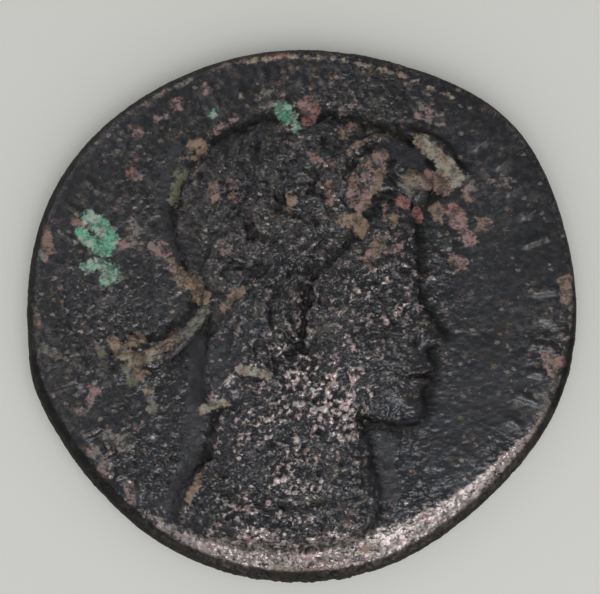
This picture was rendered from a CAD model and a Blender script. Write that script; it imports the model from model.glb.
import math

import bpy
import numpy as np
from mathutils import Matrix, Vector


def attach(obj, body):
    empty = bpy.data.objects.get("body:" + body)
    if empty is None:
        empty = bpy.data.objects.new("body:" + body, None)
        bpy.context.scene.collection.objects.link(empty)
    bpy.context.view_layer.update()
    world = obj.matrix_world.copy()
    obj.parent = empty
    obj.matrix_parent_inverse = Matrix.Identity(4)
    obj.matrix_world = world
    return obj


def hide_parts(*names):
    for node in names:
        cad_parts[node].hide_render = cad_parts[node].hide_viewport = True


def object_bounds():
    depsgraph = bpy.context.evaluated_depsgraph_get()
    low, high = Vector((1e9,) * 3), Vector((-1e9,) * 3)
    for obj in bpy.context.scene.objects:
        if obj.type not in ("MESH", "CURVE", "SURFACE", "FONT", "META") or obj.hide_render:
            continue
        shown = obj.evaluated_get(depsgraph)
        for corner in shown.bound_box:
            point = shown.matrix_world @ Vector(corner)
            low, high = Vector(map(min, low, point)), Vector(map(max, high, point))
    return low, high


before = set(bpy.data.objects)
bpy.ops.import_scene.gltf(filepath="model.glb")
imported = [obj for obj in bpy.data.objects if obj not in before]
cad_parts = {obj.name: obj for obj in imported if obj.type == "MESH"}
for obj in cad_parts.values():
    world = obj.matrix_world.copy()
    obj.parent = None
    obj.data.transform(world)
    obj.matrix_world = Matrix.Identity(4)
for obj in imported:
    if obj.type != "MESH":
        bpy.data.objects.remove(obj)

bl_info = {
    "name": "Struck Bronze Coin",
    "version": (1, 0, 0),
    "blender": (4, 5, 0),
    "location": "3D View > Sidebar > Coin",
    "description": "A worn, patinated bronze coin with a laureate portrait, and the studio it lies in",
    "category": "Add Mesh",
}

CAD_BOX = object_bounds()
MM = 0.001
DEGREE = math.pi / 180.0

# The coin's construction, in millimetres, as the solid has it.
FLAN_WIDTH = 26.0
FLAN_DEPTH = 25.3
EDGE_LEAN = 235.0
LOWER_EDGE_INSET = 0.35
EDGE_POWER = 2.2
EDGE_STEP = 0.16
EDGE_STEP_WIDTH = 0.5

# The struck face falls away at its edge: how far everywhere and how much further in one direction, then
# over what share of the radius everywhere and over how much more in one direction.
EDGE_FALL, LOWER_FALL, FALL_DIRECTION = 0.05, 0.32, 284
FALL_WIDTH, LOWER_FALL_WIDTH, FALL_WIDTH_DIRECTION = 0.05, 0.08, 266
BORDER_RISE = 0.06

# The height from which wear has halved the relief.
WORN_FROM = 0.74

# Bulges and flats that the hammer left in the rim: direction, spread in degrees, push outwards.
RIM_BULGES = [
    (43.0, 14.0, 0.65),
    (150.0, 17.0, 0.32),
    (194.0, 6.0, 0.19),
    (221.0, 10.0, -0.13),
    (314.0, 17.0, -0.49),
]

# The portrait is counted in modules of a third of the face, up from the chin.
MODULE = 3.7
CHIN = -5.2
FRONT = 5.5
NOSE_BASE = CHIN + MODULE
BROW = CHIN + 2 * MODULE
HAIRLINE = CHIN + 3 * MODULE
MOUTH = NOSE_BASE - MODULE / 3


# ---------------------------------------------------------------- small helpers

# Steps on each span between two knots of a curve.
SPAN_STEPS = 24


def clamp01(value):
    return np.clip(value, 0.0, 1.0)


def smooth(value):
    """A soft step: 0 up to 0, 1 from 1 on, and level at both ends."""
    t = clamp01(value)
    return t * t * (3 - 2 * t)


def turn_between(angle, other):
    """The turn from one angle to another, between -180 and 180 degrees."""
    return (angle - other + 540.0) % 360.0 - 180.0


def spread(angle, centre, width):
    """A bell round a direction: 1 at its centre, fading over width degrees."""
    return np.exp(-0.5 * (turn_between(angle, centre) / width) ** 2)


def place_at(angle, radius):
    """The x and y of a place at a radius in a direction, in degrees."""
    return radius * np.cos(angle * DEGREE), radius * np.sin(angle * DEGREE)


def towards(angle, direction):
    """1 in a direction, falling to 0 a quarter turn away from it."""
    return np.maximum(0, np.cos((angle - direction) * DEGREE))


def curve_through(points, closed, steps):
    """Evenly spaced points on a centripetal Catmull-Rom curve."""
    knots = np.array(points, float)
    if closed:
        knots = np.vstack([knots[-1], knots, knots[0], knots[1]])
    else:
        knots = np.vstack([2 * knots[0] - knots[1], knots, 2 * knots[-1] - knots[-2]])
    fine = []
    for p0, p1, p2, p3 in zip(knots, knots[1:], knots[2:], knots[3:]):
        gap0, gap1, gap2 = (np.sqrt(np.hypot(*(b - a))) for a, b in ((p0, p1), (p1, p2), (p2, p3)))
        start = (p1 - p0) / gap0 - (p2 - p0) / (gap0 + gap1) + (p2 - p1) / gap1
        end = (p2 - p1) / gap1 - (p3 - p1) / (gap1 + gap2) + (p3 - p2) / gap2
        start, end = start * gap1, end * gap1
        t = np.linspace(0, 1, SPAN_STEPS + 1)[:-1, None]
        fine.append(p1 + start * t + (3 * (p2 - p1) - 2 * start - end) * t**2
                    + (2 * (p1 - p2) + start + end) * t**3)
    fine = np.vstack(fine + [knots[-2]])
    length = np.concatenate([[0], np.cumsum(np.hypot(*np.diff(fine, axis=0).T))])
    even = np.linspace(0, length[-1], steps + 1)
    return np.column_stack([np.interp(even, length, fine[:, 0]), np.interp(even, length, fine[:, 1])])


def nearest_on(line, x, y):
    """The distance to a line of points, and how far along it the nearest place lies, 0 to 1."""
    distance = np.full(x.shape, np.inf)
    along = np.zeros(x.shape)
    for i, (a, b) in enumerate(zip(line, line[1:])):
        run = b - a
        t = clamp01(((x - a[0]) * run[0] + (y - a[1]) * run[1]) / (run @ run))
        gap = np.hypot(x - a[0] - t * run[0], y - a[1] - t * run[1])
        nearer = gap < distance
        distance = np.where(nearer, gap, distance)
        along = np.where(nearer, (i + t) / (len(line) - 1), along)
    return distance, along


def is_inside(line, x, y):
    """Whether a place lies inside a closed line of points."""
    inside = np.zeros(x.shape, bool)
    for (ax, ay), (bx, by) in zip(line, line[1:]):
        if ay == by:
            continue
        crosses = (ay > y) != (by > y)
        inside ^= crosses & (x < ax + (y - ay) * (bx - ax) / (by - ay))
    return inside


# ---------------------------------------------------------------- relief forms

class Form:
    """A low shape on the coin's face: the box that it lies in, and its height at x, y."""

    def __init__(self, points, margin, height):
        points = np.array(points, float)
        self.low = points.min(axis=0) - margin
        self.high = points.max(axis=0) + margin
        self.height = height

    def over(self, x, y):
        near = (x > self.low[0]) & (x < self.high[0]) & (y > self.low[1]) & (y < self.high[1])
        heights = np.zeros(x.shape)
        heights[near] = self.height(x[near], y[near])
        return heights


def highest(forms, x, y):
    """The height of whichever form stands highest at each place."""
    return np.maximum.reduce([form.over(x, y) for form in forms])


def total(forms, x, y):
    """The heights of all the forms, added up."""
    return sum(form.over(x, y) for form in forms)


def mass(points, height, shoulder):
    """A mass inside a closed outline: a short worn step at its edge, then a rounded shoulder."""
    outline = curve_through(points, True, len(points) * 8)

    def rise(x, y):
        inwards = nearest_on(outline, x, y)[0]
        dome = np.sin(math.pi / 2 * clamp01(inwards / shoulder))
        full = EDGE_STEP * smooth(inwards / EDGE_STEP_WIDTH) + (height - EDGE_STEP) * dome
        return np.where(is_inside(outline, x, y), full, 0.0)

    return Form(outline, 0.0, rise)


def ridge(points, width, height, start=0.35, end=0.35):
    """A rounded ridge, or a groove where height is negative, narrowing towards its ends."""
    line = curve_through(points, False, len(points) * 6)

    def rise(x, y):
        distance, along = nearest_on(line, x, y)
        first = start + (1 - start) * smooth(along * 3)
        last = end + (1 - end) * smooth((1 - along) * 3)
        across = clamp01(distance / (0.5 * width * first * last))
        return height * np.sqrt(first * last) * (1 - across**2) ** 2

    return Form(line, width / 2, rise)


def along_across(x, y, x0, y0, turn):
    """How far a place lies from x0, y0 along a direction, and how far across it."""
    cos, sin = math.cos(turn * DEGREE), math.sin(turn * DEGREE)
    return (x - x0) * cos + (y - y0) * sin, (y - y0) * cos - (x - x0) * sin


def mound(cx, cy, half_length, half_width, turn, height):
    """An oval mound, or a hollow where height is negative."""

    def rise(x, y):
        u, v = along_across(x, y, cx, cy, turn)
        return height * (1 - clamp01((u / half_length) ** 2 + (v / half_width) ** 2)) ** 2

    return Form([(cx, cy)], max(half_length, half_width), rise)


def leaf(x0, y0, turn, length, width, height):
    """A pointed leaf from its stalk outwards, with a groove for its midrib."""
    dx, dy = place_at(turn, length)

    def rise(x, y):
        u, v = along_across(x, y, x0, y0, turn)
        within = (u > 0) & (u < length)
        u = np.clip(u / length, 1e-4, 1 - 1e-4)
        half = width / 2 * np.sin(math.pi * u**0.8)
        blade = np.sqrt(1 - clamp01(np.abs(v) / half) ** 2) * smooth(4 * (1 - u))
        midrib = 0.22 * np.exp(-((v / 0.07) ** 2)) * smooth(6 * (1 - u))
        return np.where(within & (np.abs(v) < half), height * (blade - midrib), 0.0)

    return Form([(x0, y0), (x0 + dx, y0 + dy)], width / 2, rise)


# ---------------------------------------------------------------- the flan

def rim_radius(angle):
    """The outline's radius in a direction, in degrees."""
    a, b = FLAN_WIDTH / 2, FLAN_DEPTH / 2
    oval = a * b / np.hypot(b * np.cos(angle * DEGREE), a * np.sin(angle * DEGREE))
    return oval + sum(push * spread(angle, at, width) for at, width, push in RIM_BULGES)


def polar(x, y):
    """A place's direction in degrees, and its share of the rim's radius there."""
    angle = np.degrees(np.arctan2(y, x)) % 360
    return angle, np.hypot(x, y) / rim_radius(angle)


def upper_inset(angle, settings):
    """How far the side has drawn in where it meets the struck face."""
    swing = settings.edge_inset_swing / MM
    return settings.edge_inset / MM + swing * np.cos((angle - EDGE_LEAN) * DEGREE)


def field_level(x, y, settings):
    """The struck face between the forms: nearly level, falling away towards the lower edge."""
    angle, out = polar(x, y)
    fall = EDGE_FALL + LOWER_FALL * towards(angle, FALL_DIRECTION)
    width = FALL_WIDTH + LOWER_FALL_WIDTH * towards(angle, FALL_WIDTH_DIRECTION)
    return (settings.field_height / MM + BORDER_RISE * smooth((out - 0.6) / 0.25)
            - fall * smooth((out - 1 + width) / width))


def side_inset(level, angle, settings):
    """How far the side draws in from its widest line, at a level from 0 below to 1 above."""
    inset = np.where(level < 0.5, LOWER_EDGE_INSET, upper_inset(angle, settings))
    return inset * np.abs(2 * level - 1) ** EDGE_POWER


def face_edge(angle, settings):
    """Where the struck face meets the side: its radius and its height."""
    radius = rim_radius(angle) - upper_inset(angle, settings)
    for _ in range(4):
        level = field_level(*place_at(angle, radius), settings)
        radius = rim_radius(angle) - side_inset(level / (settings.rim_thickness / MM), angle, settings)
    return radius, level


# ---------------------------------------------------------------- the portrait

def face_mass():
    f = FRONT
    return mass([
        (f - 0.5, HAIRLINE + 0.3), (f - 0.05, BROW + 2), (f + 0.05, BROW + 0.2), (f, BROW - 0.6),
        (f + 0.65, NOSE_BASE + 1.5), (f + 1.3, NOSE_BASE + 0.45), (f + 1.2, NOSE_BASE),
        (f + 0.55, NOSE_BASE - 0.12), (f + 0.7, MOUTH + 0.3), (f + 0.42, MOUTH),
        (f + 0.6, MOUTH - 0.4), (f + 0.25, MOUTH - 0.8), (f + 0.42, CHIN + 0.95),
        (f - 0.1, CHIN + 0.1), (f - 1.6, CHIN + 0.05), (f - 3.5, CHIN + 0.8), (f - 5, CHIN + 2.2),
        (f - 5.7, NOSE_BASE + 0.9), (f - 5.2, BROW), (f - 3.6, BROW + 1.9), (f - 2.2, HAIRLINE - 0.1),
    ], 0.58, 1.9)


def hair_mass():
    return mass([
        (5.7, 5.2), (6.4, 6.4), (5.6, 7.9), (3.8, 8.9), (1.6, 9.4), (-0.8, 9.4), (-3.2, 8.8),
        (-5, 7.5), (-6, 5.7), (-6.1, 3.8), (-5.6, 2.1), (-4.8, 0.9), (-4.6, -0.8), (-4.9, -2.6),
        (-4.6, -4.3), (-3.2, -4.4), (-1.7, -3.5), (-0.5, -2.2), (0.3, -0.4), (0.5, 1.2),
        (1.4, 2.1), (2.7, 3.1), (4.1, 4.8),
    ], 0.66, 2.3)


def neck_mass():
    return mass([
        (2.6, -3.6), (3.1, -5.4), (3.4, -6.9), (3.9, -8.6), (2.6, -9.6), (-2, -9.6), (-4.9, -8.2),
        (-4.5, -6.2), (-4.2, -4.6), (-3.6, -2.4), (-0.4, -1.2),
    ], 0.44, 2.0)


def bust_mass():
    return mass([
        (2.7, -7.7), (3.6, -8), (3.7, -9.2), (2.8, -10.4), (0, -10.9), (-3.6, -10.6), (-6, -9.6),
        (-6.1, -8.6), (-5.2, -7.2), (-4.2, -6.3), (-2.4, -7.4), (0.2, -8.2),
    ], 0.42, 1.1)


def face_detail():
    """The cheek, the eye under its brow, the nostril, the lips, the chin and the jaw."""
    f = FRONT
    ex, ey = f - 1.35, BROW - 0.95
    return [
        mound(f - 2.6, NOSE_BASE + 0.2, 1.9, 1.7, 20, 0.13),
        mound(ex, ey + 0.1, 1.15, 0.75, 0, -0.17),
        ridge([(f - 0.15, BROW), (ex, BROW + 0.3), (ex - 1.4, BROW - 0.3)], 0.7, 0.11),
        mound(ex, ey, 0.6, 0.42, 0, 0.14),
        ridge([(ex + 0.7, ey), (ex, ey + 0.42), (ex - 0.8, ey)], 0.3, 0.09),
        ridge([(ex + 0.65, ey - 0.1), (ex, ey - 0.4), (ex - 0.7, ey)], 0.24, 0.06),
        mound(f + 0.5, NOSE_BASE + 0.35, 0.5, 0.4, 0, 0.13),
        ridge([(f - 0.1, NOSE_BASE + 0.8), (f - 0.2, NOSE_BASE)], 0.35, -0.09),
        ridge([(f + 0.6, MOUTH + 0.25), (f - 0.5, MOUTH + 0.12)], 0.45, 0.09, 0.9),
        ridge([(f + 0.45, MOUTH - 0.33), (f - 0.4, MOUTH - 0.2)], 0.5, 0.09, 0.9),
        ridge([(f + 0.4, MOUTH), (f - 0.7, MOUTH - 0.05)], 0.24, -0.1, 0.9),
        mound(f - 0.3, CHIN + 0.75, 0.8, 0.7, 0, 0.11),
        ridge([(f - 1.4, CHIN + 0.5), (f - 3.5, CHIN + 1.3), (f - 4.9, NOSE_BASE - 0.8)], 1.4, 0.08),
    ]


def ear():
    """The ear's rim, hollow and lobe, set level with the middle of the nose."""
    x, y = FRONT - 5.5, NOSE_BASE + MODULE / 2
    helix = [(x + 0.6, y - 0.3), (x + 0.6, y + 0.9), (x - 0.1, y + 1.5), (x - 0.9, y + 1),
             (x - 0.8, y - 0.2), (x - 0.3, y - 1.3), (x + 0.1, y - 1.6)]
    return [
        ridge(helix, 0.55, 0.12, 0.6, 0.8),
        mound(x, y + 0.2, 0.7, 0.5, 80, -0.07),
        mound(x + 0.1, y - 1.4, 0.35, 0.3, 0, 0.1),
    ]


def lock(points, width, height):
    """A lock of hair: a rounded ridge, and the fine grooves that part it into strands."""
    line = curve_through(points, False, 10)
    across = np.gradient(line, axis=0)
    across = np.column_stack([-across[:, 1], across[:, 0]]) / np.hypot(*across.T)[:, None]
    grooves = [ridge(line + offset * width * across, 0.14, -0.3 * height) for offset in (-0.16, 0.14)]
    return ridge(points, width, height), grooves


def crown_locks():
    """Locks combed out from the crown of the head, over the top and down the back."""
    crown = np.array([-2.3, 5.6])
    bends = [(0.25, 0), (0.5, 0.28), (0.78, -0.2), (1, 0.16)]
    locks = []
    for angle in range(26, 237, 21):
        out = np.array([math.cos(angle * DEGREE), math.sin(angle * DEGREE)])
        side = np.array([-out[1], out[0]])
        reach = 3.3 + 2.9 * max(0.0, math.cos((angle - 20) * DEGREE))
        locks.append(lock([crown + out * reach * part + side * bend for part, bend in bends], 0.95, 0.15))
    return locks


def nape_locks():
    """Waves under the wreath, running back from the temple to the nape."""
    return [lock([(0.8 - 3.1 * part, 3.6 - 1.7 * part), (-1.7 - 1.3 * part, 1.2 - 0.9 * part),
                  (-1.4 - 2.9 * part, -2.6 + 1.5 * part)], 0.85, 0.15) for part in np.linspace(0, 1, 4)]


def fringe():
    """Short curls along the hairline from the ear to the forehead."""
    line = curve_through([(0.8, 2.3), (2.3, 3.1), (3.7, 4.7), (5.6, 5.9)], False, 5)
    return [ridge([(x - 0.7, y + 0.8), (x + 0.15, y + 0.4), (x + 0.2, y - 0.45)], 0.9, 0.17)
            for x, y in line]


def nape_curls():
    """Three small curls where the hair ends on the neck."""
    return [mound(x, -3.7 + 0.15 * (x + 4) ** 2, 0.7, 0.6, 0, 0.15) for x in (-4.2, -3.2, -2.2)]


def wreath():
    """Leaves in pairs from the knot at the nape to the brow, each pair pointing forwards."""
    line = curve_through([(-4.3, 1.2), (-2.7, 3.4), (-0.6, 5.3), (2.2, 6.6), (6, 6.9)], False, 7)
    leaves = []
    for (x, y), (next_x, next_y) in zip(line, line[1:]):
        turn = math.degrees(math.atan2(next_y - y, next_x - x))
        leaves += [leaf(x, y, turn + 29, 2.2, 1.05, 0.2), leaf(x, y, turn - 27, 2.2, 1.05, 0.2)]
    leaves.append(ridge([(5, 8.6), (6.3, 7.9), (7.4, 6.8)], 0.9, 0.3, 0.5, 0.6))
    leaves.append(ridge([(2.2, 7.9), (3.2, 8.3), (4.2, 8.4)], 0.6, 0.16))
    return leaves


def ribbons():
    """Two ribbons fly back from the knot, the lower one with a spread end."""
    return [
        mound(-4.4, 0.8, 0.75, 0.6, 60, 0.4),
        ridge([(-4.4, 0.8), (-5.4, -0.5), (-6.7, -1.3), (-8.1, -0.9)], 0.75, 0.26, 1, 0.6),
        ridge([(-4.3, 0.5), (-5.5, -1.1), (-7, -2.2), (-8.8, -1.9)], 0.85, 0.24, 0.8, 0.8),
        mound(-8.3, -2.4, 1, 0.6, 60, 0.2),
    ]


def cloak_folds():
    """Folds of the cloak hang across the chest from the shoulder, and one falls down the back."""
    return [
        ridge([(-5.0, -7.6), (-3.3, -8.7), (-0.8, -9.3), (1.8, -8.9), (3.5, -8.2)], 0.8, 0.09),
        ridge([(-5.5, -8.6), (-3.6, -9.6), (-1.4, -10.0), (0.8, -9.9)], 0.9, 0.08),
        ridge([(0.2, -10.4), (2.0, -9.9), (3.8, -9.0)], 0.9, 0.08),
        ridge([(-4.4, -6.3), (-4.9, -7.6), (-5.8, -9.4)], 0.8, 0.09),
    ]


def obverse_relief(x, y):
    """The portrait's height above the field."""
    face = face_mass().over(x, y)
    hair = hair_mass().over(x, y)
    body = highest([neck_mass(), bust_mass()], x, y)
    relief = np.maximum(np.maximum(face, hair), body)
    on_face = (face > hair) & (face > 0.02)
    relief = relief + np.where(on_face, total(face_detail(), x, y), 0)
    locks = crown_locks() + nape_locks()
    waves = highest([wave for wave, _ in locks] + fringe() + nape_curls(), x, y)
    strands = np.minimum(0, total([groove for _, grooves in locks for groove in grooves], x, y))
    relief = relief + (waves + strands) * smooth((hair - face) / 0.1) + total(ear(), x, y)
    folds = highest(cloak_folds(), x, y)
    relief = relief + folds * smooth((body - relief + 0.02) / 0.02) * smooth(body / 0.2)
    relief = np.maximum(relief + highest(wreath(), x, y), highest(ribbons(), x, y))
    return relief - 0.5 * np.maximum(0, relief - WORN_FROM)


# ---------------------------------------------------------------- the reverse

REVERSE_RIM = 0.95
LOWER_BEVEL = 0.12
REVERSE_DEPTH = 0.22
REVERSE_RELIEF = 0.17
WREATH_RADIUS = 8.6


def reverse_relief(x, y):
    """A worn wreath, tied below, round rows of strokes that spell nothing."""
    forms = []
    for hand in (-1, 1):
        for part in np.linspace(0, 1, 11):
            angle = -90 + hand * (14 + 148 * part)
            x0, y0 = place_at(angle, WREATH_RADIUS)
            along = angle + hand * 90
            forms += [leaf(x0, y0, along + turn, 2.3, 0.95, REVERSE_RELIEF) for turn in (24, -24)]
    forms.append(mound(0, -WREATH_RADIUS, 1.1, 1.1, 0, REVERSE_RELIEF))
    for hand in (-1, 1):
        forms.append(ridge([(0.3 * hand, -9), (hand, -9.9), (2 * hand, -10.5)], 0.7, REVERSE_RELIEF))
    for row, count in enumerate((5, 7, 7, 5)):
        for i in range(count):
            x0, y0 = 1.3 * (i - (count - 1) / 2), 3.4 - 2.3 * row
            half = 0.75 if i % 2 else 0.5
            forms.append(ridge([(x0, y0 - half), (x0, y0 + half)], 0.5, 0.7 * REVERSE_RELIEF, 0.8, 0.8))
    return highest(forms, x, y)


def reverse_height(x, y):
    """The reverse surface above the ground: a level rim band, then the hollow that the die left."""
    angle, _ = polar(x, y)
    inwards = rim_radius(angle) - LOWER_EDGE_INSET - REVERSE_RIM - np.hypot(x, y)
    return (REVERSE_DEPTH - reverse_relief(x, y)) * smooth(inwards / 0.25)


# ---------------------------------------------------------------- deposits and wear

# Over how many millimetres a patch's edge fades.
DEPOSIT_FADE = 0.6

# What lies on the patina. For each kind: how fully it covers the patina, the colour that it passes into,
# how far it stands proud in millimetres, and its patches. A patch is its reach to each side of the line
# that it follows, then the points of that line.
DEPOSITS = {
    "grime": (0.8, "slate", 0.0, [
        (0.45, (-4.9, -1.4), (-5, -4.2), (-5.5, -7.2), (-6.1, -8.7)),
        (0.45, (4, -5.9), (3.9, -7), (4.2, -8.2)), (0.25, (-5.9, 8), (-6.5, 6), (-6.4, 4.2), (-5.9, 2.6)),
        (0.45, (3.9, 7.8), (4.6, 7.7), (5.4, 7.2)), (0.06, (-8, -1.42), (-6.9, -1.28), (-5.9, -0.65)),
    ]),
    "ash": (0.25, "rose", 0.0, [
        (0.15, (-6.8, 9.3), (-6.4, 9.35)), (0.1, (-7.75, 6.55), (-7.7, 6.5)),
        (0.12, (-4.4, 8.5), (-3.8, 8.9), (-3.1, 9.3)), (0.24, (-3.7, 3.3), (-3.55, 3.15)),
        (0.3, (-8, 4.35), (-7.85, 4.05)), (0.26, (-8.35, 3.4), (-8, 3.5)), (0.34, (-7, 3.3), (-6.5, 3.1)),
        (0.24, (-10.6, 4.55), (-10.5, 4.3)), (0.3, (-10.4, -4.3), (-9.7, -3.6)),
        (0.36, (-9.1, -5.7), (-8.4, -6)), (0.34, (-9.8, -6.4), (-9.2, -7.1)),
        (0.32, (-8.1, -8.2), (-7.9, -8.6)), (0.12, (-2.1, 10.2), (-1.5, 10.6), (-1, 10.3)),
        (0.1, (-2, 9.9), (-1.2, 10.05)), (0.22, (1.9, 9.6), (2.4, 10)), (0.15, (3.8, 5.3), (3.85, 4.95)),
        (0.34, (5.5, 9.6), (6.3, 9.2)), (0.2, (7.6, 6.5), (7.9, 6)),
        (0.1, (8.8, 6.4), (9.15, 6.1), (9.7, 6.5)), (0.08, (-6.9, 10.35), (-5.2, 11.15)),
        (0.1, (1.3, 11.3), (1.5, 11.35)), (0.2, (-12.3, 3), (-12.1, 2.7)),
    ]),
    "rose": (0.35, "brown", 0.0, [
        (0.16, (-7.5, 9.95), (-7.4, 10)), (0.22, (-5.95, 10.1), (-5.8, 9.85)),
        (0.15, (-4.5, 10.75), (-4.45, 10.55)), (0.2, (-7.9, 8.5), (-7.7, 8.6)),
        (0.12, (-3.7, 11.85), (-2.3, 12.05)), (0.22, (-6.25, 2.6), (-6.1, 2.3)),
        (0.2, (1.85, 8.4), (2.3, 8.9)), (0.45, (3.5, 7.4), (3.2, 6.6), (2.7, 5.4)),
        (0.3, (2.4, 6.3), (2.3, 5.6)), (0.22, (8.3, 4.45), (8.7, 4.3)), (0.18, (7.65, 5.95), (7.75, 5.6)),
        (0.32, (3.6, 3.5), (3.3, 3), (3, 2.6)), (0.22, (3.9, 3.1), (4.5, 3.2)),
        (0.26, (7.1, 2.7), (7.5, 2.5)), (0.3, (11.4, -1.7), (11.7, -2.6)),
        (0.16, (-12.55, 0), (-12.45, -0.3)),
    ]),
    "brown": (0.6, "rose", 0.0, [
        (0.3, (3.6, 6.7), (3.4, 6)), (0.5, (5.9, 6.4), (6.6, 6.2)), (0.24, (-4.1, 6.1), (-4, 5.6)),
        (0.3, (-12.2, 4.3), (-11.9, 3.2)), (0.36, (12.3, 1.7), (12.4, 0.9)),
    ]),
    "olive": (0.45, "ash", 0.0, [
        (0.24, (-5.6, 6.8), (-5.9, 6.1), (-6.1, 5.5)), (0.2, (-4.5, 0.4), (-5, -0.3), (-5.9, -1.1)),
        (0.26, (-8.2, -2.4), (-7.9, -3)), (0.2, (-9.5, -1.4), (-9.4, -1.7)),
        (0.24, (-7.2, -3.9), (-7.1, -4.3)), (0.24, (-12.1, -1.4), (-11.8, -1.6)),
        (0.26, (12.7, 0.3), (12.75, -0.5)), (0.24, (4.7, 6.2), (5, 5.9)),
        (0.34, (11.2, -3.8), (11.4, -4.4)),
    ]),
    "tan": (0.6, "brown", 0.03, [
        (0.2, (-10.55, 4.55), (-10.2, 4.3)), (0.25, (-1.2, -12), (0.6, -12.1)),
        (0.2, (-5.2, 8.15), (-4.6, 8.05), (-4.95, 7.4)), (0.2, (-0.7, 5.05), (-0.45, 5.4)),
        (0.4, (-5.7, 1.9), (-5.1, 1.5), (-4.7, 0.9)), (0.16, (-3.7, 0.4), (-2.8, 1.35)),
        (0.27, (-8.9, -1.1), (-8.3, -1.75), (-7.3, -1.8), (-6.4, -1.3), (-5.9, -0.9)),
        (0.26, (-8.1, -1.15), (-7.5, -0.9)), (0.3, (-7.9, -2.3), (-7.5, -2.7)),
        (0.22, (-4.8, -7.4), (-5, -8), (-5.3, -8.5)), (0.38, (2, 4.5), (2.5, 4.35), (2.7, 4.1)),
        (0.24, (4, 4.6), (4.25, 4.5)), (0.3, (6.3, 5), (6.4, 4.75)),
        (0.12, (2.2, 7.8), (3, 8.2), (3.9, 8.45)), (0.35, (5, 6.5), (5.5, 6.2)),
    ]),
    "cuprite": (0.55, "rose", 0.0, [
        (0.38, (0.25, 9.9), (0.4, 9.6), (0.3, 9.3)), (0.17, (-1.7, 12.15), (-0.7, 12.25)),
        (0.17, (-8, 6.8), (-7.9, 6.6)), (0.13, (-3.3, 6.15), (-3.25, 6.1)),
        (0.15, (-3.2, 5.5), (-3.1, 5.45)), (0.24, (4.6, 5.35), (4.85, 5.2)),
        (0.26, (5.3, 4.85), (5.4, 4.6)), (0.42, (7.1, 4.9), (7.35, 4.4)), (0.3, (7.8, 3.75), (7.9, 3.5)),
        (0.12, (0.5, 7.5), (1.3, 7)), (0.14, (1.2, 6.2), (1.25, 5.4)),
        (0.22, (12.05, -2.1), (12.2, -2.2)),
    ]),
    "teal": (0.45, "slate", 0.0, [
        (0.22, (5.9, 4), (6.2, 3.85)), (0.15, (6.6, 3.5), (6.7, 3.4)),
    ]),
    "verdigris": (0.9, "mint", 0.05, [
        (0.4, (-10, 4.6), (-9.5, 4.3), (-9.1, 3.8), (-9.25, 3.2)),
        (0.3, (-10.3, 4), (-10, 3.6), (-9.6, 3.3)), (0.36, (-0.95, 9.75), (-0.7, 9.35)),
        (0.14, (-0.35, 9.3), (-0.3, 8.6)), (0.13, (-4.25, 9.5), (-4.2, 9.55)),
    ]),
    "mint": (0.6, "verdigris", 0.03, [
        (0.24, (-10.15, 2.35), (-9.5, 2.5), (-8.95, 2.25), (-8.8, 1.9)), (0.24, (-9.4, 2.1), (-9.2, 1.7)),
        (0.2, (-1.1, 9.9), (-1, 9.7)),
    ]),
    "cream": (0.9, "tan", 0.04, [
        (0.14, (-1.1, -11.6), (-0.9, -11.7)), (0.14, (2.9, -10.9), (3.4, -10.8)),
        (0.2, (-8.2, -1.75), (-7.5, -2), (-6.9, -1.75)),
        (0.36, (5.5, 8.2), (6.1, 7.7), (6.7, 7.05), (7.2, 6.5)), (0.15, (-7.3, -3.45), (-7.1, -3.5)),
        (0.2, (-2.8, -2.5), (-1.6, -2.7)), (0.22, (-4.6, -4.3), (-3.6, -4)),
        (0.04, (-3.4, 11.75), (-0.5, 12.2), (2, 12), (4.8, 11.25), (7, 10.3)),
    ]),
}

# How strong each mark is where nothing adds to it, and the most that the coarseness can reach.
COARSE_BASE = 0.2
COARSE_LIMIT = 1.25
WORN_BASE = 0.18
DUSTY_BASE = 0.12

# How wide a soft region's bell is, as a share of its reach.
BELL_SHARE = 0.55

# Soft regions of the struck face: the middle's x and y, the reach, and the strength.
# Where the crust is coarse.
COARSE_REGIONS = [
    (0.5, -3.0, 5.5, 0.8),
    (-1.0, -8.5, 4.5, 0.7),
    (0.0, -11.5, 4.0, 0.8),
    (6.0, -9.4, 2.6, 0.35),
    (9.8, -6.6, 1.6, 0.4),
    (-0.5, 4.5, 5.5, 0.8),
    (-7.2, -1.6, 2.6, 0.4),
    (-8.0, -7.0, 3.2, 0.5),
    (-10.0, 0.0, 4.0, 0.4),
    (-7.0, 6.0, 5.0, 0.25),
    (3.5, 1.5, 4.0, 0.6),
    (3.0, 10.0, 4.5, 0.4),
    (12.0, -1.5, 2.0, 0.4),
    (-5.8, -7.2, 2.0, 0.4),
]

# Where handling has worn the grains bright.
WORN_REGIONS = [
    (1.7, -4.4, 2.2, 0.62),
    (0.5, -2.4, 4.0, 0.5),
    (-3.0, -4.1, 2.4, 0.55),
    (-1.0, -9.4, 4.2, 0.6),
    (-8.6, -6.6, 2.0, 0.35),
    (4.6, 1.2, 2.8, 0.48),
    (0.0, 4.2, 5.0, 0.2),
]

# Where earth and dust sit in the hollows.
DUSTY_REGIONS = [
    (-6.0, 7.0, 7.0, 0.46),
    (2.0, 9.5, 5.0, 0.46),
    (-1.0, 4.0, 6.0, 0.28),
    (-10.0, -2.0, 4.0, 0.55),
    (0.0, -11.6, 5.5, 0.6),
    (12.0, 0.0, 3.0, 0.35),
    (-5.8, -7.2, 2.4, -0.1),
    (5.0, -7.0, 3.0, -0.4),
    (2.5, 0.0, 3.5, 0.4),
    (8.5, 6.5, 3.5, 0.3),
]

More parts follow.
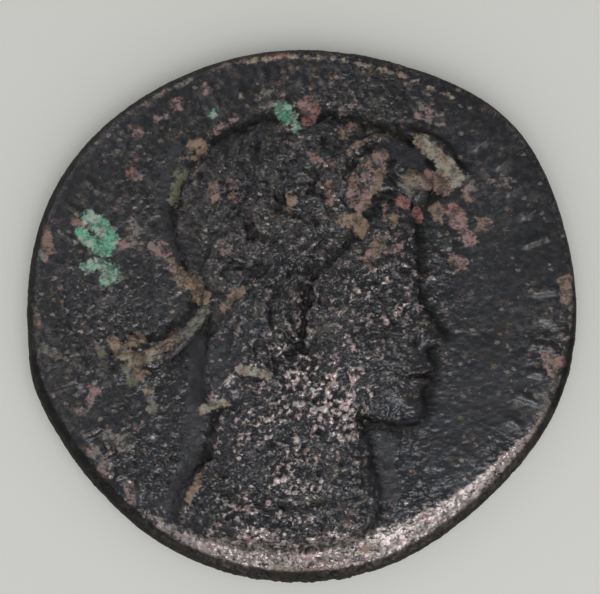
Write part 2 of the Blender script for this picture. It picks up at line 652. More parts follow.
# The bright band along the lower edge, in degrees: its broadest place and how far it stays broad, where it
# starts and ends, and how long it takes to fade in and out. Then its inner edge, as a share of the rim's
# radius: where it is narrow, and how much further in it reaches where it is broad. Last, how softly that
# edge ends, and how much more softly where it is broad.
ARC_MIDDLE, ARC_SPREAD = 276, 31
ARC_START, ARC_END = 216, 352
ARC_FADE_IN, ARC_FADE_OUT = 36, 30
ARC_INNER, ARC_REACH = 0.935, 0.145
ARC_SOFTNESS, ARC_SOFTER = 0.025, 0.07

# Where the dark side turns in over the struck face: the direction of its broadest place, how far it turns
# in at least and how much further there, and how softly it ends, in millimetres.
TURN_IN_DIRECTION = 277
TURN_IN_LEAST, TURN_IN_MORE = 0.06, 0.44
SIDE_FADE = 0.15


def deposit_patch(reach, *points):
    """One patch of a deposit: 1 well inside it, one half at its reach, and 0 outside it."""
    line = curve_through(points, False, 4 * len(points)) if len(points) > 2 else np.array(points, float)

    def amount(x, y):
        return clamp01(0.5 + (reach - nearest_on(line, x, y)[0]) / DEPOSIT_FADE)

    return Form(line, reach + DEPOSIT_FADE / 2, amount)


def regional(regions, start, x, y):
    """A starting amount with a soft patch of each region added to it."""
    amount = np.full(x.shape, start)
    for cx, cy, reach, strength in regions:
        amount += strength * np.exp(-((x - cx) ** 2 + (y - cy) ** 2) / (2 * (BELL_SHARE * reach) ** 2))
    return amount


def worn_arc(angle, share):
    """1 in the bright band along the lower edge, which narrows up both sides."""
    broad = spread(angle, ARC_MIDDLE, ARC_SPREAD)
    inner = ARC_INNER - ARC_REACH * broad
    strength = smooth((angle - ARC_START) / ARC_FADE_IN) * smooth((ARC_END - angle) / ARC_FADE_OUT)
    return strength * smooth((share - inner) / (ARC_SOFTNESS + ARC_SOFTER * broad))


def side_share(x, y, angle, settings):
    """1 on the coin's side and where it turns in over the struck face, and 0 on the rest of the face."""
    turned_in = TURN_IN_LEAST + TURN_IN_MORE * np.sqrt(towards(angle, TURN_IN_DIRECTION))
    return smooth((np.hypot(x, y) - face_edge(angle, settings)[0] + turned_in) / SIDE_FADE)


def surface_marks(x, y, struck, settings):
    """What the crust and the patina read at each point, by name. Struck is 1 on the obverse."""
    angle, share = polar(x, y)
    arc = worn_arc(angle, share) * struck
    worn = regional(WORN_REGIONS, 0.0, x, y) * struck
    return {
        "rim_share": share,
        "struck": struck,
        "coarse": np.clip(regional(COARSE_REGIONS, COARSE_BASE, x, y), 0, COARSE_LIMIT),
        "dusty": clamp01(regional(DUSTY_REGIONS, DUSTY_BASE, x, y)),
        "worn": clamp01(WORN_BASE + worn + arc),
        "arc": arc,
        "side": side_share(x, y, angle, settings),
    }


# ---------------------------------------------------------------- the coin's mesh

OBVERSE_CELLS = 264
REVERSE_CELLS = OBVERSE_CELLS // 2
SIDE_RINGS = 8
RIM_POINTS = 96


def disc_grid(cells):
    """A square grid bent into a disc: each point's angle in degrees and share of the radius."""
    step = np.linspace(-1, 1, cells + 1)
    a, b = np.meshgrid(step, step)
    wide = np.abs(a) > np.abs(b)
    radius = np.where(wide, a, b)
    safe = np.where(radius == 0, 1, radius)
    angle = np.where(wide, 45 * b / safe, 90 - 45 * a / safe)
    angle = np.where(radius < 0, angle + 180, angle)
    return angle.ravel() % 360, np.abs(radius).ravel()


def grid_quads(cells, flip):
    """The faces of a square grid. Those of the underside are flipped to face outwards."""
    low = (np.arange(cells)[:, None] * (cells + 1) + np.arange(cells)).ravel()
    quads = np.column_stack([low, low + 1, low + cells + 2, low + cells + 1])
    return quads[:, ::-1] if flip else quads


def grid_border(cells):
    """The border points of a grid, anticlockwise seen from above."""
    last, size = cells, cells + 1
    up, down = np.arange(last), np.arange(last, 0, -1)
    return np.concatenate([up, up * size + last, last * size + down, down * size])


def flan_shift():
    """The move that puts the middle of the coin's box over the origin."""
    angle = np.arange(RIM_POINTS) * 360 / RIM_POINTS
    x, y = place_at(angle, rim_radius(angle))
    return np.array([-(x.min() + x.max()) / 2, -(y.min() + y.max()) / 2, 0.0])


def obverse_points(settings):
    """The struck face's points, from its middle out to its edge."""
    angle, share = disc_grid(OBVERSE_CELLS)
    x, y = place_at(angle, share * face_edge(angle, settings)[0])
    relief = obverse_relief(x, y)
    return np.column_stack([x, y, field_level(x, y, settings) + relief])


def side_points(settings):
    """Rings of points down the side, from under the struck face's border to the ground."""
    turn = disc_grid(OBVERSE_CELLS)[0][grid_border(OBVERSE_CELLS)]
    edge_height = face_edge(turn, settings)[1]
    thickness = settings.rim_thickness / MM
    rings = []
    for ring in range(1, SIDE_RINGS + 1):
        level = edge_height / thickness * (1 - ring / SIDE_RINGS)
        radius = rim_radius(turn) - side_inset(level, turn, settings)
        rings.append(np.column_stack([*place_at(turn, radius), level * thickness]))
    return np.vstack(rings)


def reverse_points():
    """The underside's points, which end a bevel's width inside the side's lowest ring."""
    angle, share = disc_grid(REVERSE_CELLS)
    x, y = place_at(angle, share * (rim_radius(angle) - LOWER_EDGE_INSET - LOWER_BEVEL))
    return np.column_stack([x, y, reverse_height(x, y)])


def bevel_faces(outer, inner):
    """A strip of triangles from a ring of points to one inside it that has half as many."""
    even, odd, after = outer[::2], outer[1::2], np.roll(outer[::2], -1)
    inner_next = np.roll(inner, -1)
    return [np.column_stack([even, inner, odd]), np.column_stack([odd, inner, inner_next]),
            np.column_stack([odd, inner_next, after])]


def coin_points(settings):
    """The points and faces of the closed coin: two discs, the side's rings and a bevel to join them."""
    top, side, under = obverse_points(settings), side_points(settings), reverse_points()
    border = grid_border(OBVERSE_CELLS)
    count = len(border)
    first_under = len(top) + len(side)
    rings = [border] + [len(top) + ring * count + np.arange(count) for ring in range(SIDE_RINGS)]
    parts = [grid_quads(OBVERSE_CELLS, False), grid_quads(REVERSE_CELLS, True) + first_under]
    for upper, lower in zip(rings, rings[1:]):
        parts.append(np.column_stack([upper, lower, np.roll(lower, -1), np.roll(upper, -1)]))
    parts += bevel_faces(rings[-1], grid_border(REVERSE_CELLS) + first_under)
    return np.vstack([top, side, under]), [face for part in parts for face in part.tolist()]


def store(mesh, name, values):
    """Keeps a number for each point as a named attribute."""
    layer = mesh.attributes.new(name, "FLOAT", "POINT")
    layer.data.foreach_set("value", np.asarray(values, np.float32))


def positions(mesh):
    """The mesh's points as rows of x, y and z."""
    flat = np.empty(3 * len(mesh.vertices), np.float32)
    mesh.vertices.foreach_get("co", flat)
    return flat.reshape(-1, 3).astype(float)


def smoothed(mesh, values, rounds):
    """Each point's value after rounds of taking the mean over the points that share an edge with it."""
    edges = np.empty(2 * len(mesh.edges), np.int32)
    mesh.edges.foreach_get("vertices", edges)
    a, b = edges[::2], edges[1::2]
    count = np.bincount(edges, minlength=len(values))[:, None]
    for _ in range(rounds):
        summed = np.zeros_like(values)
        for start, end in ((a, b), (b, a)):
            np.add.at(summed, start, values[end])
        values = summed / count
    return values


# ---------------------------------------------------------------- node trees

class Term:
    """A socket that can stand in a Python expression. Each operation adds a Math node."""

    def __init__(self, graph, socket):
        self.graph = graph
        self.socket = socket

    def __add__(self, other):
        return self.graph.math("ADD", self, other)

    def __sub__(self, other):
        return self.graph.math("SUBTRACT", self, other)

    def __rsub__(self, other):
        return self.graph.math("SUBTRACT", other, self)

    def __mul__(self, other):
        return self.graph.math("MULTIPLY", self, other)

    def __truediv__(self, other):
        return self.graph.math("DIVIDE", self, other)

    def __rtruediv__(self, other):
        return self.graph.math("DIVIDE", other, self)

    __radd__ = __add__
    __rmul__ = __mul__


class Graph:
    """Adds nodes to one tree."""

    def __init__(self, tree):
        self.tree = tree

    def node(self, kind, settings, inputs):
        """A node with its settings, then its sockets' values or links."""
        node = self.tree.nodes.new(kind)
        for name, value in settings.items():
            setattr(node, name, value)
        for name, value in inputs.items():
            self.feed(node.inputs[name], value)
        return node

    def feed(self, socket, value):
        if isinstance(value, Term):
            self.tree.links.new(value.socket, socket)
        else:
            socket.default_value = value

    def term(self, kind, settings, inputs, output=0):
        return Term(self, self.node(kind, settings, inputs).outputs[output])

    def math(self, operation, *values):
        return self.term("ShaderNodeMath", {"operation": operation}, dict(enumerate(values)))

    def vector(self, operation, *values):
        inputs = dict(enumerate(values))
        return self.term("ShaderNodeVectorMath", {"operation": operation}, inputs)

    def scaled(self, vector, factor):
        settings = {"operation": "SCALE"}
        return self.term("ShaderNodeVectorMath", settings, {"Vector": vector, "Scale": factor})

    def rise(self, value, low, high):
        """0 below low, 1 above high and a smooth rise between."""
        settings = {"interpolation_type": "SMOOTHSTEP"}
        inputs = {"Value": value, "From Min": low, "From Max": high}
        return self.term("ShaderNodeMapRange", settings, inputs)

    def noise(self, place, size, detail=2.0, roughness=0.5, output="Fac"):
        inputs = {"Vector": place, "Scale": 1 / size, "Detail": detail, "Roughness": roughness}
        return self.term("ShaderNodeTexNoise", {}, inputs, output)

    def cells(self, place, size, smoothness=0.3):
        """The distance to the nearest of many scattered points, counted in their spacing."""
        settings = {"feature": "SMOOTH_F1"}
        inputs = {"Vector": place, "Scale": 1 / size, "Smoothness": smoothness}
        return self.term("ShaderNodeTexVoronoi", settings, inputs, "Distance")

    def mix(self, factor, first, second):
        """Two colours mixed. The Mix node has sockets of one name for each data type."""
        node = self.node("ShaderNodeMix", {"data_type": "RGBA"}, {})
        for index, value in ((0, factor), (6, first), (7, second)):
            self.feed(node.inputs[index], value)
        return Term(self, node.outputs[2])


def emptied_tree(owner):
    """The node tree of a material or a world, with nothing in it."""
    owner.use_nodes = True
    owner.node_tree.nodes.clear()
    return owner.node_tree


def geometry_tree(name, sockets):
    """A modifier's tree with named inputs. Returns the graph and the inputs as terms."""
    tree = bpy.data.node_groups.new(name, "GeometryNodeTree")
    tree.interface.new_socket("Geometry", in_out="INPUT", socket_type="NodeSocketGeometry")
    tree.interface.new_socket("Geometry", in_out="OUTPUT", socket_type="NodeSocketGeometry")
    for label, kind, value in sockets:
        socket = tree.interface.new_socket(label, in_out="INPUT", socket_type=kind)
        if value is not None:
            socket.default_value = value
    graph = Graph(tree)
    start = graph.node("NodeGroupInput", {}, {})
    return graph, {output.name: Term(graph, output) for output in start.outputs if output.name}


def finish_tree(graph, geometry, material):
    """Ends a tree in Realize Instances and Set Material."""
    whole = graph.term("GeometryNodeRealizeInstances", {}, {"Geometry": geometry})
    dressed = graph.term("GeometryNodeSetMaterial", {}, {"Geometry": whole, "Material": material})
    graph.node("NodeGroupOutput", {}, {"Geometry": dressed})
    return graph.tree


def named_value(graph, name):
    """A stored attribute, read in a modifier's tree."""
    return graph.term("GeometryNodeInputNamedAttribute", {"data_type": "FLOAT"}, {"Name": name})


def stroke_row_tree():
    """A row of short radial strokes round the border, raised out of the struck face."""
    graph, given = geometry_tree("Legend Stroke Row", [
        ("First Angle", "NodeSocketFloat", 222.0),
        ("Stroke Count", "NodeSocketInt", 7),
        ("Pitch", "NodeSocketFloat", 6.5),
        ("Ring Share", "NodeSocketFloat", 0.875),
        ("Long Stroke", "NodeSocketFloat", 1.5 * MM),
        ("Short Stroke", "NodeSocketFloat", 1.05 * MM),
        ("Stroke Width", "NodeSocketFloat", 0.6 * MM),
        ("Stroke Height", "NodeSocketFloat", 0.15 * MM),
        ("Material", "NodeSocketMaterial", None),
    ])
    place = graph.term("GeometryNodeInputPosition", {}, {})
    split = graph.node("ShaderNodeSeparateXYZ", {}, {"Vector": place})
    x, y = Term(graph, split.outputs["X"]), Term(graph, split.outputs["Y"])
    radius = graph.math("SQRT", x * x + y * y)
    angle = graph.math("ARCTAN2", y, x) / DEGREE
    pitch = given["Pitch"]
    turn = graph.math("WRAP", given["First Angle"] - angle, 360 - pitch / 2, pitch / -2)
    index = graph.math("ROUND", turn / pitch)
    across = graph.math("ABSOLUTE", radius * (turn - index * pitch) * DEGREE)
    along = graph.math("ABSOLUTE", radius - radius * given["Ring Share"] / named_value(graph, "rim_share"))
    short = graph.math("MODULO", index, 2.0)
    length = given["Long Stroke"] - (given["Long Stroke"] - given["Short Stroke"]) * short
    side = 1 - graph.math("MINIMUM", across / (given["Stroke Width"] * 0.5), 1.0)
    end = graph.rise(length * 0.5 - along, 0.0, 0.3 * MM)
    in_row = graph.math("LESS_THAN", index, given["Stroke Count"] - 0.5)
    bump = graph.rise(side, 0.0, 1.0) * end * in_row * named_value(graph, "struck")
    offset = graph.term("ShaderNodeCombineXYZ", {}, {"Z": bump * given["Stroke Height"]})
    raised = graph.term("GeometryNodeSetPosition", {}, {"Geometry": given["Geometry"], "Offset": offset})
    return finish_tree(graph, raised, given["Material"])


def corrosion_tree():
    """Swells, grains and pits along the surface's own normals, stronger where it is coarse."""
    graph, given = geometry_tree("Corrosion Skin", [
        ("Swell Size", "NodeSocketFloat", 0.8 * MM),
        ("Swell Depth", "NodeSocketFloat", 0.08 * MM),
        ("Grain Size", "NodeSocketFloat", 0.27 * MM),
        ("Grain Depth", "NodeSocketFloat", 0.06 * MM),
        ("Pit Size", "NodeSocketFloat", 0.5 * MM),
        ("Pit Depth", "NodeSocketFloat", 0.07 * MM),
        ("Seed", "NodeSocketInt", 11),
        ("Material", "NodeSocketMaterial", None),
    ])
    place = graph.term("GeometryNodeInputPosition", {}, {})
    normal = graph.term("GeometryNodeInputNormal", {}, {})
    coarse = named_value(graph, "coarse")
    broken = graph.rise(coarse, 0.1, 0.9)
    far = graph.term("ShaderNodeCombineXYZ", {}, {"X": given["Seed"] * 0.0137, "Y": given["Seed"] * 0.0071})
    place = graph.vector("ADD", place, far)
    stir = graph.vector("SUBTRACT", graph.noise(place, 0.5 * MM, 2.0, output="Color"), (0.5, 0.5, 0.5))
    stirred = graph.vector("ADD", place, graph.scaled(stir, 0.3 * MM))

    swell = (graph.noise(place, given["Swell Size"], 2.0) * 2 - 1) * (0.08 + 0.92 * broken)
    grain = 1 - graph.rise(graph.cells(stirred, given["Grain Size"]), 0.05, 0.75)
    pit = graph.rise(graph.noise(stirred, given["Pit Size"], 3.0), 0.56, 0.68)
    height = (swell * given["Swell Depth"] + (grain - 0.5) * given["Grain Depth"] * (0.12 + broken)
              - pit * given["Pit Depth"] * (0.2 + 0.8 * broken))
    moved = graph.term("GeometryNodeSetPosition", {}, {
        "Geometry": given["Geometry"], "Offset": graph.scaled(normal, height),
    })
    return finish_tree(graph, moved, given["Material"])


def add_modifier(piece, tree, values):
    """Adds a tree to a piece and sets its inputs by their sockets' identifiers."""
    modifier = piece.modifiers.new(tree.name, "NODES")
    modifier.node_group = tree
    for socket in tree.interface.items_tree:
        if socket.in_out == "INPUT" and socket.name in values:
            modifier[socket.identifier] = values[socket.name]


def made_plain(piece):
    """Turns the evaluated piece into a plain mesh and takes its modifiers off."""
    evaluated = piece.evaluated_get(bpy.context.evaluated_depsgraph_get())
    mesh = bpy.data.meshes.new_from_object(evaluated)
    piece.modifiers.clear()
    old = piece.data
    piece.data = mesh
    bpy.data.meshes.remove(old)
    mesh.name = piece.name


# ---------------------------------------------------------------- the patina

class Patina(Graph):
    """The patina's tree, with its colours, the marks on the mesh and the noises that its layers share."""

    def __init__(self, tree, colours):
        super().__init__(tree)
        self.colours = colours
        self.place = self.scaled(self.term("ShaderNodeTexCoord", {}, {}, "Object"), 1 / MM)
        self.drawn = self.term("ShaderNodeMapping", {}, {
            "Vector": self.place, "Rotation": (0, 0, -25 * DEGREE), "Scale": (0.86, 1.12, 1),
        })
        self.coarse, self.dusty, self.sunk = self.mark("coarse"), self.mark("dusty"), self.mark("sunk")
        self.broad = self.noise(self.place, 2.4, 3.0, 0.6)
        self.cloud = self.noise(self.place, 0.7, 3.0, 0.6)
        self.middle = self.noise(self.place, 0.3, 2.0, 0.6)
        self.fine = self.noise(self.drawn, 0.12, 3.0, 0.65)
        self.blot = self.noise(self.vector("ADD", self.place, (31, 7, 0)), 0.42, 1.0, 0.5)
        self.patch = self.noise(self.vector("ADD", self.place, (-17, 23, 0)), 0.6, 2.0, 0.5)
        self.curl = 1 - self.math("ABSOLUTE", self.noise(self.drawn, 0.34, 2.0, 0.55) * 2 - 1) * 3

    def mark(self, name):
        """A mark that is stored on the mesh."""
        return self.term("ShaderNodeAttribute", {"attribute_name": name}, {}, "Fac")

    def feed(self, socket, value):
        """A colour can be given by its name."""
        if isinstance(value, str):
            value = tuple(getattr(self.colours, value))
        super().feed(socket, value)

    def flecks(self, size, threshold, reach):
        """Small scattered spots: where they are, and a random number for each."""
        cell = self.node("ShaderNodeTexVoronoi", {}, {"Vector": self.drawn, "Scale": 1 / size})
        random = self.node("ShaderNodeSeparateColor", {}, {"Color": Term(self, cell.outputs["Color"])})
        chosen = self.rise(Term(self, random.outputs["Red"]), threshold, threshold + 0.02)
        ragged = ((self.fine - 0.5) * 1.2 + (self.middle - 0.5) * 0.8
                  + Term(self, random.outputs["Blue"]) * 0.16)
        near = 1 - self.rise(Term(self, cell.outputs["Distance"]) + ragged, reach, reach + 0.16)
        return chosen * near, Term(self, random.outputs["Green"])


def ground_layer(patina):
    """Charcoal to slate, with sooty clouds and dust. Returns the colour and how thick the dust is."""
    colour = patina.mix(patina.rise(patina.broad, 0.35, 0.65), "charcoal", "slate")
    colour = patina.mix(patina.rise(patina.cloud, 0.45, 0.7) * 0.6, colour, "soot")
    settled = patina.middle * 0.5 + patina.blot * 0.5 + (patina.fine - 0.5) * 0.6
    dust = patina.rise(settled, 0.44, 0.66) * patina.dusty
    dust = dust * (0.55 + 0.95 * patina.rise(patina.broad, 0.42, 0.6))
    return patina.mix(dust, colour, "dust"), dust


def rubbed_layer(patina, colour):
    """The pale lower edge and the bright worn grains. Returns the colour and how bare the metal is."""
    rubbed = patina.mark("worn") * (0.35 + 1.3 * patina.rise(patina.cloud, 0.4, 0.62))
    bright = patina.math("MAXIMUM", rubbed - 0.4, 0.0)
    arc = patina.mark("arc") + (patina.middle - 0.5) * 1.2 + (patina.cloud - 0.5) * 0.8
    pale = patina.rise(arc, 0.3, 0.75) * patina.rise(patina.middle * 0.5 + patina.fine * 0.7, 0.44, 0.68)
    colour = patina.mix(pale, colour, "pale")
    proud = patina.mark("raised") * 0.55 + patina.curl * 0.25 + (patina.fine - 0.5) * 0.9 + bright * 0.35
    worn = patina.rise(proud, 0.56, 0.98) * rubbed
    metal = patina.mix(patina.rise(patina.patch, 0.48, 0.66) * 0.6, "worn", "flush")
    return patina.mix(worn, colour, metal), worn


def fleck_layer(patina, colour):
    """Single bare grains, then motes of crust. Returns the colour and where the bare grains are."""
    spots, shade = patina.flecks(0.3, 0.8, 0.26)
    spots = spots * (0.45 + 0.55 * patina.rise(patina.coarse, 0.3, 0.9))
    tinge = patina.rise(shade, 0.7, 0.9)
    colour = patina.mix(spots * 0.8, colour, patina.mix(tinge, "worn", "tan"))
    motes, shade = patina.flecks(0.4, 0.5, 0.36)
    gathered = patina.cloud + (patina.broad - 0.5) * 0.5 + patina.dusty * 0.2
    motes = motes * patina.rise(gathered, 0.48, 0.62)
    hue = "olive"
    for other, low, high in (("ash", 0.3, 0.36), ("rose", 0.66, 0.72), ("tan", 0.88, 0.92)):
        hue = patina.mix(patina.rise(shade, low, high), hue, other)
    return patina.mix(motes * patina.rise(patina.fine, 0.4, 0.6) * 0.7, colour, hue), spots


def deposit_layer(patina, colour):
    """Every kind of deposit, one over another. Returns the colour and how far they cover the patina."""
    covered = None
    ragged = (patina.middle - 0.5) * 0.9 + (patina.fine - 0.5) * 0.25 + (patina.cloud - 0.5) * 0.8
    gaps = patina.rise(patina.blot + (patina.fine - 0.5) * 0.6, 0.42, 0.58)
    depth = patina.blot * 0.5 + patina.middle * 0.5 + (patina.fine - 0.5) * 0.9
    for kind, (fullness, other, _, _) in DEPOSITS.items():
        body = patina.mix(patina.rise(patina.patch, 0.42, 0.6), kind, other)
        deep = patina.mix(0.7, body, "charcoal")
        mask = patina.rise(patina.mark(kind) + ragged, 0.37, 0.65) * (fullness + (1 - fullness) * gaps)
        colour = patina.mix(mask, colour, patina.mix(patina.rise(depth, 0.6, 0.34), body, deep))
        covered = mask if covered is None else patina.math("MAXIMUM", covered, mask)
    return colour, covered


def edge_shader(patina, bump):
    """The dark dirt on the side, with a little dust."""
    colour = patina.mix(patina.rise(patina.cloud, 0.42, 0.66), "side", "soot")
    colour = patina.mix(patina.rise(patina.blot, 0.5, 0.7) * 0.22, colour, "dust")
    return patina.term("ShaderNodeBsdfPrincipled", {}, {
        "Base Color": colour, "Roughness": 0.7, "Specular IOR Level": 0.12, "Normal": bump,
    })


def patina_material(colours):
    """Charcoal patina over bronze: dusty hollows, worn grains that glint, and mineral deposits."""
    material = bpy.data.materials.new("patinated_bronze")
    patina = Patina(emptied_tree(material), colours)
    sunk, coarse, cloud = patina.sunk, patina.coarse, patina.cloud
    colour, dust = ground_layer(patina)
    colour, worn = rubbed_layer(patina, colour)
    colour, spots = fleck_layer(patina, colour)
    colour = patina.mix(sunk * 0.7, colour, "side")
    colour, covered = deposit_layer(patina, colour)

    bare = patina.math("MAXIMUM", worn, spots * 0.8) * (1 - covered) * (1 - sunk)
    roughness = 0.42 - 0.14 * coarse + 0.2 * dust + 0.22 * covered + 0.14 * (cloud - 0.5)
    roughness = roughness + 0.2 * sunk + 0.04 * bare
    metallic = (0.35 + 0.3 * bare + 0.4 * sunk) * (1 - covered)
    crumb = 1 - patina.rise(patina.cells(patina.drawn, 0.2, 0.15), 0.0, 0.75)
    lump = 1 - patina.rise(patina.cells(patina.drawn, 0.42, 0.3), 0.1, 0.8)
    rough = 0.1 + 0.9 * patina.rise(coarse, 0.15, 1.0)
    height = (0.45 * patina.curl + 0.6 * crumb + 0.5 * patina.fine + 0.9 * lump) * rough + 0.5 * spots
    bump = patina.term("ShaderNodeBump", {}, {
        "Strength": 1.0, "Distance": 0.045 * MM, "Height": height,
    })
    surface = patina.term("ShaderNodeBsdfPrincipled", {}, {
        "Base Color": colour, "Roughness": roughness, "Metallic": metallic, "Normal": bump, "IOR": 1.6,
    })
    mixed = patina.term("ShaderNodeMixShader", {}, {
        0: patina.mark("side") * (0.86 + 0.14 * cloud), 1: surface, 2: edge_shader(patina, bump),
    })
    patina.node("ShaderNodeOutputMaterial", {}, {"Surface": mixed})
    return material


def floor_material(colour):
    """A matt, even floor."""
    material = bpy.data.materials.new("pale_floor")
    graph = Graph(emptied_tree(material))
    surface = graph.node("ShaderNodeBsdfPrincipled", {}, {"Base Color": tuple(colour), "Roughness": 0.75})
    graph.node("ShaderNodeOutputMaterial", {}, {"Surface": Term(graph, surface.outputs[0])})
    return material


# ---------------------------------------------------------------- settings

def number(name, description, default, **limits):
    """A plain number that the panel can change."""
    return bpy.props.FloatProperty(name=name, description=description, default=default, **limits)


def length(name, description, millimetres):
    """A length that the panel can change."""
    return number(name, description, millimetres * MM, unit="LENGTH", precision=5)


def colour(name, description, value):
    """A colour that the panel can change."""
    return bpy.props.FloatVectorProperty(name=name, description=description, default=(*value, 1.0),
                                         size=4, subtype="COLOR", min=0.0, max=1.0)


class CoinShapeSettings(bpy.types.PropertyGroup):
    rim_thickness: length("Rim thickness", "Thickness at the rim", 2.2)
    field_height: length("Field height", "Height of the struck face between the forms", 2.12)
    edge_inset: length("Edge inset", "Mean draw-in of the side at the struck face", 0.42)
    edge_inset_swing: length("Edge swing", "How much the draw-in varies round the rim", 0.2)
    swell_depth: length("Swell depth", "Depth of the broad unevenness", 0.09)
    grain_size: length("Grain size", "Spacing of the crust's grains", 0.27)
    grain_depth: length("Grain depth", "Depth of the crust's grains", 0.06)
    pit_depth: length("Pit depth", "Depth of the corrosion pits", 0.07)
    seed: bpy.props.IntProperty(name="Seed", description="Seed of the corrosion", default=11)


class CoinPatinaSettings(bpy.types.PropertyGroup):
    charcoal: colour("Charcoal", "Darkest patina", (0.0100, 0.0112, 0.0150))
    slate: colour("Slate", "Smooth bluish patina", (0.0150, 0.0172, 0.0248))
    soot: colour("Soot", "Brown-black patina", (0.017, 0.015, 0.0135))
    side: colour("Side", "Dirt on the coin's side", (0.008, 0.008, 0.007))
    dust: colour("Dust", "Grey-brown dust in the hollows", (0.085, 0.076, 0.066))
    worn: colour("Worn", "Pinkish grey of worn grains", (0.415, 0.36, 0.352))
    ash: colour("Ash", "Pale grey crust", (0.17, 0.16, 0.14))
    rose: colour("Rose", "Muted pink crust", (0.30, 0.175, 0.16))
    verdigris: colour("Verdigris", "Pale green crust", (0.13, 0.44, 0.28))
    flush: colour("Flush", "Coppery pink on some of the bare grains", (0.40, 0.23, 0.24))
    pale: colour("Pale rub", "Pinkish grey where the crust is rubbed", (0.37, 0.315, 0.295))
    grime: colour("Grime", "Near-black dirt beside the relief", (0.006, 0.006, 0.0085))
    mint: colour("Mint", "Pale, powdery copper salts", (0.36, 0.46, 0.37))
    teal: colour("Teal", "Dark green crust", (0.016, 0.07, 0.053))
    cuprite: colour("Cuprite", "Red oxide", (0.30, 0.115, 0.09))
    brown: colour("Brown", "Red-brown oxide", (0.22, 0.145, 0.09))
    tan: colour("Tan", "Earth that clings in the hollows", (0.30, 0.20, 0.13))
    olive: colour("Olive", "Greenish earth", (0.13, 0.13, 0.07))
    cream: colour("Cream", "Pale mineral", (0.34, 0.31, 0.24))


class CoinStudioSettings(bpy.types.PropertyGroup):
    view_width: length("View width", "Width that the camera sees at the middle of the coin's rim", 28.55)
    lens: number("Lens", "Focal length in millimetres", 85.0)
    view_x: length("View X", "Where the camera's axis meets the coin, across", -0.08)
    view_y: length("View Y", "Where the camera's axis meets the coin, upwards", 0.92)
    key_power: number("Key", "Key light, in watts", 0.105, unit="POWER", precision=4)
    fill_power: number("Fill", "Fill light, in watts", 0.05, unit="POWER", precision=4)
    sky: number("Sky", "Strength of the surroundings", 0.365)
    dark_top: number("Dark top", "How much darker the surroundings are overhead", 0.4, min=0.0, max=1.0)
    floor: colour("Floor", "Colour of the pale floor", (0.87, 0.875, 0.83))


# ---------------------------------------------------------------- operators

# Rows of strokes round the border: the first stroke's direction, how many, and their height in mm.
STROKE_ROWS = [
    (222.0, 7, 0.14),
    (168.0, 4, 0.08),
    (112.0, 3, 0.08),
    (44.0, 5, 0.08),
    (6.0, 6, 0.09),
]

# What stands proud of its near surroundings and what lies sunk in its far ones is told from their means:
# the rounds of averaging for each, and the height and depth, in millimetres, over which the mark changes.
NEAR_ROUNDS = 5
FAR_ROUNDS = 30
PROUD_HEIGHT = 0.03
SUNK_DEPTH = 0.05


class COIN_OT_strike(bpy.types.Operator):
    """Builds the coin: one closed, struck and corroded piece of bronze"""
    bl_idname = "coin.strike"
    bl_label = "Strike the coin"

    def execute(self, context):
        settings = context.scene.coin_shape
        points, faces = coin_points(settings)
        x, y = points[:, 0], points[:, 1]
        struck = np.arange(len(points)) < (OBVERSE_CELLS + 1) ** 2
        marks = surface_marks(x, y, struck, settings)
        for kind, (_, _, thickness, patches) in DEPOSITS.items():
            marks[kind] = highest([deposit_patch(*patch) for patch in patches], x, y) * struck
            points[:, 2] += thickness * smooth(2 * marks[kind] - 0.5)

        mesh = bpy.data.meshes.new("struck_coin")
        mesh.from_pydata(((points + flan_shift()) * MM).tolist(), [], faces)
        for name, values in marks.items():
            store(mesh, name, values)
        piece = bpy.data.objects.new("struck_coin", mesh)
        context.scene.collection.objects.link(piece)

        material = patina_material(context.scene.coin_patina)
        strokes = stroke_row_tree()
        for first, count, height in STROKE_ROWS:
            add_modifier(piece, strokes, {
                "First Angle": first, "Stroke Count": count, "Stroke Height": height * MM,
                "Material": material,
            })
        add_modifier(piece, corrosion_tree(), {
            "Swell Depth": settings.swell_depth, "Grain Size": settings.grain_size,
            "Grain Depth": settings.grain_depth, "Pit Depth": settings.pit_depth,
            "Seed": settings.seed, "Material": material,
        })
        made_plain(piece)
        finish_surface(piece)
        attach(piece, "root")
        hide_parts("coin")
        return {"FINISHED"}


def finish_surface(piece):
    """Keeps the points inside the solid's box, and marks what stands proud and what lies sunk."""
    mesh = piece.data
    place = np.clip(positions(mesh), *np.array(CAD_BOX))
    mesh.vertices.foreach_set("co", place.astype(np.float32).ravel())
    mesh.update()
    normals = np.empty(3 * len(mesh.vertices), np.float32)
    mesh.vertex_normals.foreach_get("vector", normals)
    normals = normals.reshape(-1, 3)

    def above(level):
        return np.einsum("ij,ij->i", place - level, normals) / MM

    near = smoothed(mesh, place, NEAR_ROUNDS)
    far = smoothed(mesh, near, FAR_ROUNDS)
    store(mesh, "raised", clamp01(0.5 + above(near) / PROUD_HEIGHT))
    store(mesh, "sunk", clamp01(-above(far) / SUNK_DEPTH - 0.3))
    mesh.shade_smooth()


class COIN_OT_stage(bpy.types.Operator):
    """Sets up the pale floor, the soft lights and the camera over the coin"""
    bl_idname = "coin.stage"
    bl_label = "Set up the studio"

    def execute(self, context):
        studio = context.scene.coin_studio
        make_floor(studio)
        make_lights(studio)
        make_camera(studio)
        context.scene.view_settings.view_transform = "Standard"
        return {"FINISHED"}


# Half of the floor's width, and how far it lies under the coin, in metres.
FLOOR_HALF = 0.6
FLOOR_GAP = 0.02 * MM

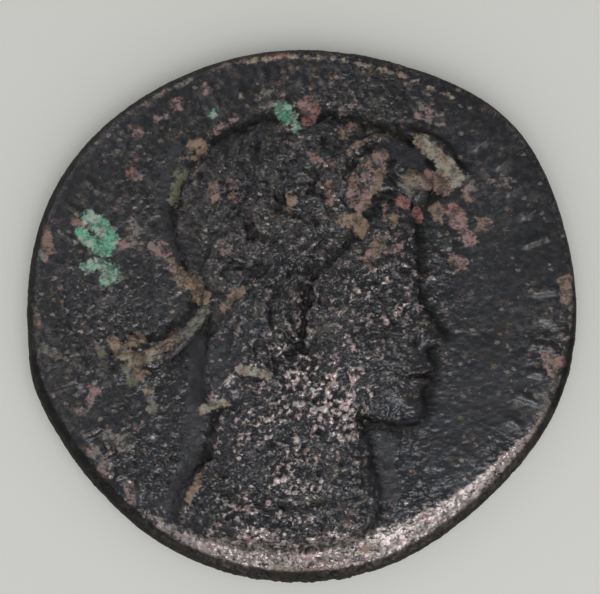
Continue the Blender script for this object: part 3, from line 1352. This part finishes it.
# The lamps. For each: which power it takes and what share of it, its width and its place in metres, and
# whether it lights for gloss alone or for diffuse light alone.
LAMPS = {
    "key_glint": ("key_power", 1.0, 0.03, (0.028, -0.082, 0.147), True),
    "key": ("key_power", 0.9, 0.16, (0.012, -0.025, 0.18), False),
    "fill_glint": ("fill_power", 1.0, 0.12, (-0.1, 0.05, 0.13), True),
    "fill": ("fill_power", 1.6, 0.25, (0.03, -0.09, 0.15), False),
}


def make_floor(studio):
    """A floor a hair's breadth under the coin, too wide for its edges to be seen."""
    half, level = FLOOR_HALF, -FLOOR_GAP
    mesh = bpy.data.meshes.new("floor")
    corners = [(-half, -half, level), (half, -half, level), (half, half, level), (-half, half, level)]
    mesh.from_pydata(corners, [], [(0, 1, 2, 3)])
    floor = bpy.data.objects.new("floor", mesh)
    mesh.materials.append(floor_material(studio.floor))
    bpy.context.scene.collection.objects.link(floor)


def make_lamp(name, power, size, place, glossy):
    """One square lamp aimed at the coin."""
    light = bpy.data.lights.new(name, "AREA")
    light.energy = power
    light.size = size
    lamp = bpy.data.objects.new(name, light)
    lamp.location = place
    lamp.rotation_euler = (-lamp.location).to_track_quat("-Z", "Y").to_euler()
    lamp.visible_glossy = glossy
    lamp.visible_diffuse = not glossy
    bpy.context.scene.collection.objects.link(lamp)


def make_lights(studio):
    """The lamps, and surroundings that are darker overhead."""
    for name, (source, share, size, place, glossy) in LAMPS.items():
        make_lamp(name, getattr(studio, source) * share, size, place, glossy)
    world = bpy.data.worlds.new("studio")
    graph = Graph(emptied_tree(world))
    way = graph.term("ShaderNodeTexCoord", {}, {}, "Generated")
    up = graph.term("ShaderNodeSeparateXYZ", {}, {"Vector": way}, "Z")
    strength = studio.sky * (1 - studio.dark_top * graph.rise(up, 0.7, 0.93))
    light = graph.term("ShaderNodeBackground", {}, {"Color": (1, 1, 1, 1), "Strength": strength})
    graph.node("ShaderNodeOutputWorld", {}, {"Surface": light})
    bpy.context.scene.world = world


def make_camera(studio):
    """A camera straight above the coin, as far off as its lens needs to see the view's width."""
    camera = bpy.data.cameras.new("camera")
    camera.lens = studio.lens
    camera.clip_start = 0.001
    distance = studio.view_width * studio.lens / camera.sensor_width
    viewer = bpy.data.objects.new("camera", camera)
    middle = bpy.context.scene.coin_shape.rim_thickness / 2
    viewer.location = (studio.view_x, studio.view_y, middle + distance)
    bpy.context.scene.collection.objects.link(viewer)
    bpy.context.scene.camera = viewer


class COIN_PT_panel(bpy.types.Panel):
    bl_idname = "COIN_PT_panel"
    bl_label = "Struck Coin"
    bl_space_type = "VIEW_3D"
    bl_region_type = "UI"
    bl_category = "Coin"

    def draw(self, context):
        for settings, operator in ((context.scene.coin_shape, COIN_OT_strike),
                                   (context.scene.coin_patina, None),
                                   (context.scene.coin_studio, COIN_OT_stage)):
            box = self.layout.box()
            for name in settings.bl_rna.properties.keys():
                if name not in ("rna_type", "name"):
                    box.prop(settings, name)
            if operator:
                box.operator(operator.bl_idname)


CLASSES = (CoinShapeSettings, CoinPatinaSettings, CoinStudioSettings, COIN_OT_strike, COIN_OT_stage,
           COIN_PT_panel)


def register():
    for cls in CLASSES:
        bpy.utils.register_class(cls)
    bpy.types.Scene.coin_shape = bpy.props.PointerProperty(type=CoinShapeSettings)
    bpy.types.Scene.coin_patina = bpy.props.PointerProperty(type=CoinPatinaSettings)
    bpy.types.Scene.coin_studio = bpy.props.PointerProperty(type=CoinStudioSettings)


def unregister():
    del bpy.types.Scene.coin_shape
    del bpy.types.Scene.coin_patina
    del bpy.types.Scene.coin_studio
    for cls in reversed(CLASSES):
        bpy.utils.unregister_class(cls)


def main():
    register()
    bpy.ops.coin.strike()
    bpy.ops.coin.stage()


if __name__ == "__main__":
    main()
